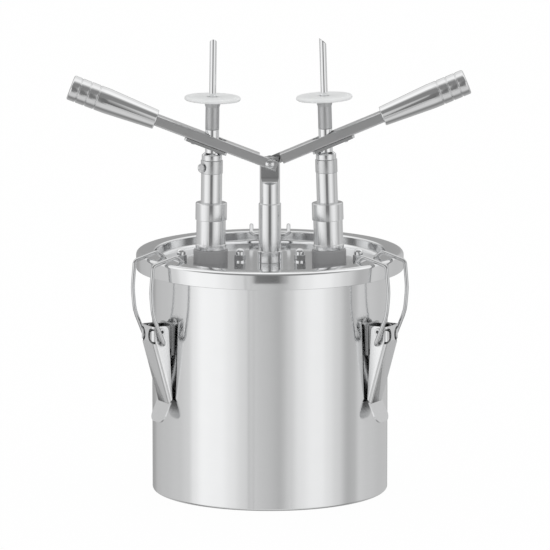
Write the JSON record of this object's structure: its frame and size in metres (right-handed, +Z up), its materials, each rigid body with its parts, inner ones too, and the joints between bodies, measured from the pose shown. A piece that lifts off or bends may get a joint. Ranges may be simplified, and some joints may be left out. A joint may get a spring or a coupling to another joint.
{
  "type": "donut filling machine",
  "caption": "Lidded steel container with lever-pressed piston pumps on a central post, upright filling needles with depth discs, and over-centre bail latches round its wall.",
  "frame": {"origin": "middle of the container's flat bottom, which rests on the table", "axes": "+X towards the right-hand lever, -Y towards the front, where the front latches and the operator are, +Z up along the container's axis"},
  "size_m": [0.4096, 0.2863, 0.4628],
  "materials": {
    "polished_steel": "polished",
    "satin_steel": "satin",
    "spring_steel": "drawn wire",
    "food_seal": "matte food-grade silicone",
    "grey_plastic": "matte",
    "white_plastic": "translucent matte"
  },
  "bodies": {
    "container": {"container": "polished_steel", "lid": "polished_steel", "lid_gasket": "food_seal", "centre_post": "polished_steel", "post_nut": "satin_steel", "pivot_pin": "polished_steel", "pivot_washers": "satin_steel", "cap_nuts": "polished_steel", "cap_washers": "polished_steel", "pump_flanges": "satin_steel", "flange_gaskets": "food_seal", "spring_seats": "satin_steel", "valve_seats": "satin_steel", "ball_stop_pins": "satin_steel", "left_base_ring": "grey_plastic", "right_base_ring": "grey_plastic", "left_pump_cylinder": "polished_steel", "right_pump_cylinder": "polished_steel", "left_guide_collar": "polished_steel", "right_guide_collar": "polished_steel", "left_return_spring": "spring_steel", "right_return_spring": "spring_steel", "latch_brackets": "satin_steel", "latch_pins": "satin_steel"},
    "left_lever": {"left_lever": "satin_steel", "left_grip": "polished_steel", "left_wear_plate": "satin_steel", "left_plate_rivet": "satin_steel"},
    "right_lever": {"right_lever": "satin_steel", "right_grip": "polished_steel", "right_wear_plate": "satin_steel", "right_plate_rivet": "satin_steel"},
    "left_plunger": {"left_barrel": "polished_steel", "left_dose_ring": "satin_steel", "left_domed_cap": "polished_steel", "left_piston_rod": "polished_steel", "left_piston": "satin_steel", "left_piston_seal": "food_seal", "left_needle_nut": "satin_steel", "left_needle": "polished_steel", "left_depth_disc": "white_plastic"},
    "right_plunger": {"right_barrel": "polished_steel", "right_dose_ring": "satin_steel", "right_domed_cap": "polished_steel", "right_piston_rod": "polished_steel", "right_piston": "satin_steel", "right_piston_seal": "food_seal", "right_needle_nut": "satin_steel", "right_needle": "polished_steel", "right_depth_disc": "white_plastic"},
    "left_thumb_screw": {"left_thumb_screw": "satin_steel"},
    "right_thumb_screw": {"right_thumb_screw": "satin_steel"},
    "left_valve_ball": {"left_valve_ball": "polished_steel"},
    "right_valve_ball": {"right_valve_ball": "polished_steel"},
    "front_left_latch": {"front_left_latch": "satin_steel"},
    "front_right_latch": {"front_right_latch": "satin_steel"},
    "rear_latch": {"rear_latch": "satin_steel"},
    "front_left_bail": {"front_left_bail": "polished_steel"},
    "front_right_bail": {"front_right_bail": "polished_steel"},
    "rear_bail": {"rear_bail": "polished_steel"}
  },
  "joints": [
    {"name": "left_lever_press", "type": "hinge", "parent": "container", "child": "left_lever", "pos_m": [0, 0, 0.3355], "axis": [0, -1, 0], "range_deg": [0, 30.53]},
    {"name": "left_plunge", "type": "slide", "parent": "container", "child": "left_plunger", "axis": [-0.014, 0, -0.9999], "range_m": [0, 0.0294], "stiffness_N_per_m": 700, "springref_m": -0.03, "deforming": ["left_return_spring"]},
    {"name": "left_thumb_screw_turn", "type": "hinge", "parent": "left_plunger", "child": "left_thumb_screw", "pos_m": [-0.06956, -0.00831, 0.33126], "axis": [-0.7879, -0.6157, 0.011], "range_deg": [0, 360]},
    {"name": "left_ball_lift", "type": "slide", "parent": "container", "child": "left_valve_ball", "axis": [0.014, 0, 0.9999], "range_m": [0, 0.003]},
    {"name": "right_lever_press", "type": "hinge", "parent": "container", "child": "right_lever", "pos_m": [0, 0, 0.3355], "axis": [0, 1, 0], "range_deg": [0, 32.5]},
    {"name": "right_plunge", "type": "slide", "parent": "container", "child": "right_plunger", "axis": [0.0305, 0, -0.9995], "range_m": [0, 0.0306], "stiffness_N_per_m": 700, "springref_m": -0.03, "deforming": ["right_return_spring"]},
    {"name": "right_thumb_screw_turn", "type": "hinge", "parent": "right_plunger", "child": "right_thumb_screw", "pos_m": [0.05728, 0.0135, 0.33215], "axis": [0, 1, 0], "range_deg": [0, 360]},
    {"name": "right_ball_lift", "type": "slide", "parent": "container", "child": "right_valve_ball", "axis": [-0.0305, 0, 0.9995], "range_m": [0, 0.003]},
    {"name": "front_left_latch_open", "type": "hinge", "parent": "container", "child": "front_left_latch", "pos_m": [-0.11544, -0.06665, 0.1755], "axis": [-0.5, 0.866, 0], "range_deg": [0, 110]},
    {"name": "front_left_bail_swing", "type": "hinge", "parent": "front_left_latch", "child": "front_left_bail", "pos_m": [-0.11544, -0.06665, 0.163], "axis": [-0.5, 0.866, 0], "range_deg": [-91, 0]},
    {"name": "front_right_latch_open", "type": "hinge", "parent": "container", "child": "front_right_latch", "pos_m": [0.11544, -0.06665, 0.1755], "axis": [-0.5, -0.866, 0], "range_deg": [0, 110]},
    {"name": "front_right_bail_swing", "type": "hinge", "parent": "front_right_latch", "child": "front_right_bail", "pos_m": [0.11544, -0.06665, 0.163], "axis": [-0.5, -0.866, 0], "range_deg": [-91, 0]},
    {"name": "rear_latch_open", "type": "hinge", "parent": "container", "child": "rear_latch", "pos_m": [0, 0.1333, 0.1755], "axis": [1, 0, 0], "range_deg": [0, 110]},
    {"name": "rear_bail_swing", "type": "hinge", "parent": "rear_latch", "child": "rear_bail", "pos_m": [0, 0.1333, 0.163], "axis": [1, 0, 0], "range_deg": [-91, 0]}
  ],
  "couplings": [
    {"joint": "left_plunge", "follows": "left_lever_press", "m_per_rad": 0.05517},
    {"joint": "right_plunge", "follows": "right_lever_press", "m_per_rad": 0.05385},
    {"joint": "front_left_bail_swing", "follows": "front_left_latch_open", "ratio": -0.82},
    {"joint": "front_right_bail_swing", "follows": "front_right_latch_open", "ratio": -0.82},
    {"joint": "rear_bail_swing", "follows": "rear_latch_open", "ratio": -0.82}
  ]
}
